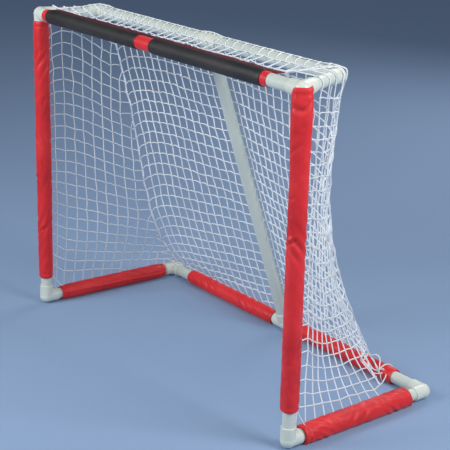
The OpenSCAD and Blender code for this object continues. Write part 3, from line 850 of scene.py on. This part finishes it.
def seam_cords(side):
    name = SIDE_NAME[side]
    t = np.linspace(0, 1, 140)
    path = seam(side, t)
    wobble = 0.0016 * np.stack([np.sin(41 * t + side), np.sin(57 * t), 0 * t], 1)
    path = path + wobble * np.sin(np.pi * t)[:, None]
    start = vec(TOP_X[side] + side * 0.002, SHELF_Y, SHELF_CORD_Z)
    arc = [mix(start, path[0], u) + vec(0, 0.009, 0.0020) * math.sin(math.pi * u)
           for u in (0.0, 0.3, 0.65)]
    path = np.concatenate([arc, path])
    if side > 0:
        tail = [on_bar(REAR_BAR, mix(SEAM_FOOT[side][0], 0.545, u), PAD_R + 0.003,
                            math.radians(-62 * u)) for u in np.linspace(0.1, 1, 10)]
        path = np.concatenate([path, tail])
    path = resample(path, 0.010)
    parts = Parts()
    tube(parts, path, SEAM_CORD_R, 8)
    tube(parts, resample(lacing(path, 0.0036, 0.092, 1.0), 0.006), 0.0013)
    if side > 0:
        tube(parts, resample(smooth(LOOP, 8), 0.005), TIE_R, 8)
        tie(parts, 0.549, 0.010, PAD_R + 0.0024, -75, 290)
    else:
        tie(parts, -0.700, 0.006, HUB_R + 0.0036, -150, 215)
    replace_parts(parts.build(name + "_seam_lacing", M_CORD, "seam_cord"), name + "_seam_cord")
    edge = Parts()
    border = np.array([border_point(side, y) for y in np.linspace(FLAP_Y - 0.004, SHELF_Y, 24)])
    border[:, 2] += 0.0012 * np.sin(np.linspace(0, 9, 24))
    tube(edge, resample(border, 0.008), EDGE_CORD_R, 8)
    tube(edge, resample(lacing(resample(border, 0.004), 0.0030, 0.046, 0.4), 0.005), 0.0011)
    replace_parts(edge.build(name + "_shelf_border", M_CORD, "seam_cord"), name + "_top_cord")


for s in (LEFT, RIGHT):
    seam_cords(s)


# ---- Sleeves ----
def waves(seed, terms, turns, runs):
    """Smooth noise round (angle) and along (metres) a tube, from a few seeded sine waves."""
    r = np.random.RandomState(seed)
    m = r.randint(turns[0], turns[1] + 1, terms)
    k = r.uniform(runs[0], runs[1], terms) * r.choice((-1, 1), terms)
    ph = r.uniform(0, 2 * np.pi, terms)
    amp = r.uniform(0.5, 1, terms)
    amp /= amp.sum()

    def f(a, v):
        out = 0
        for mi, ki, pi, ai in zip(m, k, ph, amp):
            out = out + ai * np.sin(mi * a + 2 * np.pi * ki * v + pi)
        return out
    return f


# the finished cloth's points round a sleeve, and their distance along it
AROUND = 64
CELL = 0.0042


def pull(d, rest, stiff):
    """How far a thread along d draws its first end towards the length it should have."""
    dist = np.linalg.norm(d, axis=-1, keepdims=True)
    return stiff * d * (1 - rest / np.maximum(dist, 1e-9))


def round_pairs(x, w, step, rest, stiff):
    """One round of length constraints between points a step apart round the tube."""
    move = pull(np.roll(x, -step, axis=1) - x, rest, stiff * 0.5)
    x += w * (move - np.roll(move, step, axis=1)) * 0.5


def long_pairs(x, w, step, rest, stiff):
    """One round of length constraints between points a step apart along the tube."""
    move = pull(x[step:] - x[:-step], rest, stiff * 0.5)
    push = np.zeros_like(x)
    push[:-step] += move
    push[step:] -= move
    x += w * push * 0.5


def between(x, wrap):
    """A grid's points along its first axis, with a smooth midpoint after each."""
    if wrap:
        p = np.concatenate([x[-1:], x, x[:2]])
    else:
        p = np.concatenate([2 * x[:1] - x[1:2], x, 2 * x[-1:] - x[-2:-1]])
    mid = (9 * (p[1:-2] + p[2:-1]) - p[:-3] - p[3:]) / 16
    n = len(x) + len(mid)
    out = np.empty((n,) + x.shape[1:])
    out[0::2], out[1::2] = x, mid
    return out


def crumple(length, radius, seed, slack, gather, twists, steps, low, high, foam):
    """Cloth simulation of a sleeve: a tube of cloth, longer (gather) and wider (slack) than the
    padding it is pulled over and twisted on it, wrinkles against the padding until its threads
    fit. It stays between the radii low and radius + high. Each twist is a share of the length
    and an angle. Every second point each way is solved; those between are put in smoothly."""
    m = int(round(length / (2 * CELL)))
    around = AROUND // 2
    v = np.linspace(0, length, m + 1)
    V, A = np.meshgrid(v, 2 * np.pi * np.arange(around) / around, indexing="ij")
    turn = np.zeros_like(v)
    for at, amount in twists:
        turn += amount * 0.5 * (1 + np.tanh((v - at * length) / 0.045))
    A2 = A + turn[:, None] - turn[0]
    grain, soft = waves(seed + 7, 9, (0, 6), (3, 22)), waves(seed + 9, 5, (1, 3), (0.5, 4))
    R = radius + 0.0009 * grain(A, V) + 0.0008 * soft(A, V)
    x = np.stack([R * np.cos(A2), R * np.sin(A2), V], -1)
    dl, dc = v[1] - v[0], 2 * np.pi * radius / around
    patch = 1 + 0.8 * waves(seed + 3, 6, (0, 2), (1, 6))(A, V)[..., None]
    along, across = dl * (1 + gather * patch[:-1]), dc * (1 + slack * patch)
    diagonal = np.sqrt(along ** 2 + across[:-1] ** 2)
    w = np.ones_like(x)
    w[[0, -1]] = 0
    target = radius + 0.0006 * soft(A, V)
    for _ in range(steps):
        long_pairs(x, w, 1, along, 1.0)
        round_pairs(x, w, 1, across, 1.0)
        for turned in (1, -1):
            # the two diagonals of every cell
            move = pull(np.roll(x, -turned, axis=1)[1:] - x[:-1], diagonal, 0.35)
            push = np.zeros_like(x)
            push[:-1] += move
            push[1:] -= np.roll(move, turned, axis=1)
            x += w * push * 0.5
        # the cloth's stiffness against bending
        long_pairs(x, w, 3, 3 * dl * (1 + 0.6 * gather), 0.20)
        long_pairs(x, w, 2, 2 * dl * (1 + 0.8 * gather), 0.20)
        round_pairs(x, w, 2, 2 * dc, 0.18)
        flat = x[..., :2]
        now = np.linalg.norm(flat, axis=-1)
        goal = np.clip(now + foam * (target - now), low, radius + high)
        flat *= (goal / np.maximum(now, 1e-6))[..., None]
    x = between(x, False)
    x = between(x.swapaxes(0, 1), True).swapaxes(0, 1)
    V, A = np.meshgrid(np.linspace(0, length, 2 * m + 1), 2 * np.pi * np.arange(AROUND) / AROUND,
                       indexing="ij")
    return x, V, A


def sleeve(a, b, start, stop, radius, lip_dir, seed, slack, gather, steps, foam, twists=(),
           low=0.0236, high=0.0045, hem=0.016, taper=0.0020, floor=False, shape=None, reach=None):
    """A padded fabric tube with rolled hems at its ends and a closing seam along lip_dir."""
    inner = PIPE_R + 0.0006
    w = unit(b - a)
    n0 = unit(lip_dir - w * (np.dot(lip_dir, w)))
    n1 = np.cross(w, n0)
    length = stop - start
    x, V, A = crumple(length, radius, seed, slack, gather, twists, steps, low, high, foam)
    R = np.linalg.norm(x[..., :2], axis=-1)
    flat = x[..., :2] / R[..., None]
    if shape is not None:
        R = R + shape(A, V)
    edge = np.minimum(V, length - V)
    # the hem: a double layer, gathered a little, with a stitched groove
    R = R + 0.0005 * (edge < hem) - 0.0006 * bell(edge - hem, 0.0022)
    R -= taper * (1 - ease(edge / (2.2 * hem)))
    # the closing seam: a narrow welt with a groove on each side
    off = np.minimum(A, 2 * np.pi - A) * radius
    R += 0.0026 * bell(off, 0.0030) - 0.0009 * bell(off - 0.0075, 0.0025)
    R = np.maximum(R, inner + 0.0012)
    along = x[..., 2] + (reach(A, V) if reach is not None else 0)
    rings = [(along[k], R[k], flat[k]) for k in range(len(V))]

    def lips(k, sign):
        """The hem's rolled edge: how far out of the sleeve's end, between bore and surface."""
        out = [(along[k] + sign * back, mix(inner, R[k] - less, share), flat[k])
               for back, share, less in ((0.0006, 0.0, 0.0), (-0.0004, 0.45, 0.0),
                                         (-0.0016, 0.80, 0.0), (-0.0010, 1.0, 0.00055))]
        return out[::sign]
    rings = lips(0, 1) + rings + lips(-1, -1)
    pts = np.array([a + w * (start + at)[:, None] + r[:, None] * (f[:, :1] * n0 + f[:, 1:] * n1)
                    for at, r, f in rings])
    if floor:
        soft = 0.0006 + 0.0009 * (1 + waves(77, 6, (1, 4), (4, 18))(
            np.broadcast_to(A[0], pts.shape[:2]), np.linspace(0, length, len(pts))[:, None]))
        pts[..., 2] = np.maximum(pts[..., 2], soft)
    n = len(rings)
    i, s = np.indices((n, AROUND))
    j = (i + 1) % n
    at = np.r_[[0] * 4, V[:, 0], [length] * 4]
    g = 2 * np.pi * radius / AROUND
    quads = cells(i, s, j, (s + 1) % AROUND, AROUND)
    uv = cell_uv(s * g, (s + 1) * g, at[i], at[j])
    return pts.reshape(-1, 3), quads, uv


def padded_sleeve(name, node, *args, fill=0.55, **kw):
    verts, quads, uv = sleeve(*args, **kw)
    o = add_mesh(name, verts, quads, M_RED, uv)
    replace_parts(o, node)


def far(a, b):
    """Angle between two directions round a sleeve, in degrees."""
    d = np.abs(np.degrees(a) - b) % 360
    return np.minimum(d, 360 - d)


POST_TOP = TOP_Z - BASE_Z - HUB_R - 0.001


def post_shape(side, bare):
    """The post sleeves' own folds: a wide top, long folds down it and a pinch or two."""
    length = POST_TOP - bare
    slow = waves(13 + side, 4, (1, 2), (0.3, 1.2))
    folds = waves(17 + side, 4, (2, 4), (0.2, 0.9))

    def f(a, v):
        z = BASE_Z + bare + v
        out = 0.0016 * slow(a, v) + 0.0030 * folds(a, v)
        out += (0.0038 if side > 0 else 0.0004) * ease((v - (length - 0.26)) / 0.2)
        if side > 0:
            # the U-shaped crease under the sleeve's top, and a pinch at the post's middle
            d = np.degrees(a) - 232
            fold = z - 1.058 - np.where(d < 0, 0.018, 0.070) * (d / 90) ** 2
            near = np.exp(-((d + 8) / 80) ** 4)
            out += near * (0.0008 * bell(fold + 0.012, 0.008) - 0.0050 * bell(fold, 0.0046)
                           + 0.0016 * bell(fold - 0.012, 0.008))
            near = np.exp(-(far(a, 188) / 42) ** 4)
            fold = z - 0.676 - 0.0003 * (np.degrees(a) - 188)
            out += near * (0.0034 * bell(fold - 0.012, 0.007) - 0.0044 * bell(fold, 0.006))
        else:
            for at, where in ((0.81, 150), (0.50, 120), (0.30, 190)):
                near = np.exp(-(far(a, where) / 55) ** 4)
                fold = z - at - 0.0004 * (np.degrees(a) - where)
                out += near * (0.0020 * bell(fold - 0.013, 0.008) - 0.0028 * bell(fold, 0.006))
        return out
    return f


def over_elbow(bare):
    """The right sleeve is pulled up over the outer side of its elbow, clear of both bars."""
    length = POST_TOP - bare

    def f(a, v):
        lift = 0.035 * ease((far(a, 22.8) - 40) / 22) * ease((far(a, 90) - 20) / 78)
        return lift * ease((v - (length - 0.12)) / 0.12)
    return f


def slant(length):
    """The right base sleeve's rear end is drawn back along its top."""
    return lambda a, v: (-0.010 * (1 + np.cos(a - math.radians(70)))
                         * ease((v - (length - 0.09)) / 0.09))


# the photo shows the two sides' sleeves set and crumpled differently, the right side bar's most
POST = {LEFT: dict(start=0.082, radius=PAD_R - 0.0018, seed=2),
        RIGHT: dict(start=0.103, radius=PAD_R - 0.0002, seed=4, reach=over_elbow(0.103))}
SIDE_BAR = {
    LEFT: dict(start=SOCKET + 0.014, seed=10, slack=0.020, gather=0.014, taper=0.0040,
               twists=((0.25, 0.20), (0.75, 0.22))),
    RIGHT: dict(start=SOCKET + 0.006, seed=12, slack=0.045, gather=0.030, low=0.0290,
                high=0.0020, twists=((0.20, 0.36), (0.50, -0.12), (0.80, 0.36)))}
REAR_GAP = {LEFT: 0.008, RIGHT: 0.016}
END_BAND, MIDDLE_BAND = 0.027, 0.084

for side, nm in SIDE_NAME.items():
    padded_sleeve(nm + "_post_padding", nm + "_post_sleeve", base_front(side), top_front(side),
                  stop=POST_TOP, lip_dir=vec(0, 1, 0), slack=0.032, gather=0.020, steps=180,
                  foam=0.008, twists=((0.22, 0.25), (0.55, -0.45), (0.85, 0.30)),
                  shape=post_shape(side, POST[side]["start"]), **POST[side])
    a, b = base_front(side), base_rear(side)
    stop = np.linalg.norm(b - a) - SOCKET - REAR_GAP[side]
    padded_sleeve(nm + "_base_padding", nm + "_base_sleeve", a, b, stop=stop,
                  radius=BASE_PAD_R[side], lip_dir=vec(-side, 0, 0.35), steps=200, foam=0.008,
                  floor=True, reach=slant(stop - SIDE_BAR[side]["start"]) if side > 0 else None,
                  **SIDE_BAR[side])
    padded_sleeve("rear_base_padding_" + nm, "rear_base_sleeve_" + nm, BASE_TEE, b,
                  SOCKET + 0.010, abs(BASE_X[side]) - SOCKET - 0.087, PAD_R - 0.0008,
                  vec(0, 1, -0.1), 21 + side, slack=0.022, gather=0.015, steps=200, foam=0.006,
                  twists=((0.3, 0.28), (0.7, 0.26)), floor=True)

padded_sleeve("crossbar_padding", "crossbar_sleeve", top_front(LEFT), top_front(RIGHT),
              BAR_FROM + HALF_W, BAR_TO + HALF_W, BAR_R - 0.0006, vec(0, 1, 1), 31, slack=0.004,
              gather=0.002, steps=30, foam=0.2, hem=0.010, fill=0.3, low=0.0232, high=0.0006)


# ---- Black panels and the closing flap on the crossbar ----
def black_panel(name, node, start, stop):
    """Satin wrapped round the crossbar's sleeve, its long edges folded in at the flap."""
    m, n = int(round((stop - start) / 0.006)), 44
    xs = np.linspace(start, stop, m + 1)
    # angle from the flap's direction, going round the front
    gap = math.radians(11)
    ang = np.linspace(gap, 2 * np.pi - gap, n + 1)
    wob = waves(41 + int(start > -0.3), 8, (1, 5), (2, 12))
    long = waves(43, 5, (2, 5), (0.5, 2))
    n0 = unit(vec(0, 1, 1))
    n1 = unit(np.cross(vec(1, 0, 0), n0))
    X, A = np.meshgrid(xs, ang, indexing="ij")
    edge = np.minimum(np.minimum(X - start, stop - X), 0.02)
    side_edge = np.minimum(A - gap, 2 * np.pi - gap - A) * 0.0255
    near = np.minimum(edge, side_edge)
    R = 0.0258 + 0.0004 * wob(A, X) + 0.0003 * long(A, X)
    R = R - 0.0005 * bell(near - 0.005, 0.0012) - 0.0007 * np.exp(-near / 0.0012)

    def face(radius):
        return np.stack([X, FRONT_Y + radius * (np.cos(A) * n0[1] + np.sin(A) * n1[1]),
                         TOP_Z + radius * (np.cos(A) * n0[2] + np.sin(A) * n1[2])],
                        -1).reshape(-1, 3)
    width = n + 1
    count = (m + 1) * width
    i, j = np.indices((m, n))
    q = cells(i, j, i + 1, j + 1, width)
    # the four edges between the outer and the inner face, each given by a line of points
    rows, cols = np.arange(m + 1) * width, np.arange(n + 1)
    edges = [np.stack([p, r, r + count, p + count], -1)
             for p, r in ((rows[:-1], rows[1:]), (rows[1:] + n, rows[:-1] + n),
                          (cols[1:], cols[:-1]), (m * width + cols[:-1], m * width + cols[1:]))]
    quads = np.concatenate([q, (q + count)[:, ::-1], *edges])
    verts = np.concatenate([face(R), face(0.02465)])
    flat = np.stack([A.ravel() * 0.0255, X.ravel()], -1)
    o = add_mesh(name, verts, quads, M_BLACK, flat[quads % count].reshape(-1, 2))
    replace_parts(o, node)


PANEL = (BAR_LEN - 2 * END_BAND - MIDDLE_BAND) / 2
black_panel("left_black_wrap", "crossbar_panel_left", BAR_FROM + END_BAND,
            BAR_FROM + END_BAND + PANEL)
black_panel("right_black_wrap", "crossbar_panel_right", BAR_TO - END_BAND - PANEL,
            BAR_TO - END_BAND)


def flap():
    """The sleeve's two edges, closed on each other behind the crossbar, holding the net's edge."""
    m = 170
    xs = np.linspace(BAR_FROM, BAR_TO, m + 1)
    lift = waves(51, 7, (1, 1), (1.5, 9))
    out = waves(52, 7, (1, 1), (2, 12))
    half = 0.0013
    prof = [(0.0, -1), (0.35, -1), (0.7, -1), (0.94, -1.1), (1.0, -0.6), (1.0, 0.6),
            (0.94, 1.1), (0.7, 1), (0.35, 1), (0.0, 1)]
    y0 = FRONT_Y + 0.0175
    pts = []
    for u, h in prof:
        z = (FLAP_Z + half * h + u * 0.0016 * lift(0, xs) - 0.0003 * (0.6 < u < 0.9)
             - FLAP_DROOP * u * u)
        y = y0 + u * (FLAP_Y - y0) + u * 0.0018 * out(0, xs)
        pts.append(np.stack([xs, y, z], -1))
    pts = np.array(pts)
    k = len(prof)
    i, s = np.indices((m, k))
    quads = cells(s, i, (s + 1) % k, i + 1, m + 1)
    caps = []
    for end, order in ((0, 1), (m, -1)):
        for a in range(k // 2 - 1):
            q = [c * (m + 1) + end for c in (a, a + 1, k - 2 - a, k - 1 - a)]
            caps.append(q[::order])
    quads = np.concatenate([quads, np.array(caps)])[:, ::-1]
    verts = pts.reshape(-1, 3)
    uv = np.stack([verts[quads][..., 0], verts[quads][..., 1]], -1).reshape(-1, 2)
    o = add_mesh("crossbar_closing_flap", verts, quads, M_FLAP_SHADED, uv)
    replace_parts(o, "crossbar_flap")


flap()

# ---- The carried-over pipes and fittings ----
for name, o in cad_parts.items():
    if o.hide_render:
        continue
    o.data.materials.clear()
    o.data.materials.append(M_PIPE if name.endswith("pipe") or "_pipe_" in name else M_FITTING)


# ---- Floor and light ----
def stage():
    me = bpy.data.meshes.new("floor")
    h = 30.0
    me.from_pydata([(-h, -h, 0), (h, -h, 0), (h, h, 0), (-h, h, 0)], [], [(0, 1, 2, 3)])
    o = put("floor", me)
    p = Paint("floor", Roughness=0.85, Base_Color=srgb(136, 160, 192), Specular_IOR_Level=0.2)
    me.materials.append(p.m)
    world = bpy.data.worlds.new("world")
    bpy.context.scene.world = world
    world.use_nodes = True
    nodes, link = world.node_tree.nodes, world.node_tree.links.new
    bg = nodes["Background"]
    bg.inputs["Color"].default_value = srgb(222, 230, 242)
    bg.inputs["Strength"].default_value = 0.27
    # what the camera and reflections see past the floor's edge
    seen = nodes.new("ShaderNodeBackground")
    seen.inputs["Color"].default_value = srgb(64, 78, 100)
    path, both, rays = (nodes.new("ShaderNode" + k) for k in ("LightPath", "Math", "Math"))
    both.operation = rays.operation = "MAXIMUM"
    link(path.outputs["Is Glossy Ray"], both.inputs[0])
    link(path.outputs["Is Transmission Ray"], both.inputs[1])
    link(path.outputs["Is Camera Ray"], rays.inputs[0])
    link(both.outputs[0], rays.inputs[1])
    mixed = nodes.new("ShaderNodeMixShader")
    link(rays.outputs[0], mixed.inputs[0])
    link(bg.outputs[0], mixed.inputs[1])
    link(seen.outputs[0], mixed.inputs[2])
    link(mixed.outputs[0], nodes["World Output"].inputs["Surface"])


def area(name, place, target, size, power):
    d = bpy.data.lights.new(name, "AREA")
    d.shape, d.size, d.size_y = "RECTANGLE", size[0], size[1]
    d.energy = power
    o = put(name, d)
    o.location = place
    o.rotation_euler = (Vector(target) - Vector(place)).to_track_quat("-Z", "Y").to_euler()


stage()
area("key", (2.8, 0.6, 2.3), (0.6, -0.2, 0.6), (1.3, 1.3), 66)
area("fill", (3.6, -4.2, 3.2), (0, 0, 0.5), (4, 3), 60)
area("left", (-1.0, -3.4, 2.6), (0, 0, 0.6), (1.6, 1.6), 105)
area("back", (-1.6, 4.2, 3.0), (0, 0, 0.6), (2.4, 2.4), 65)

bpy.context.scene.view_settings.view_transform = "Standard"
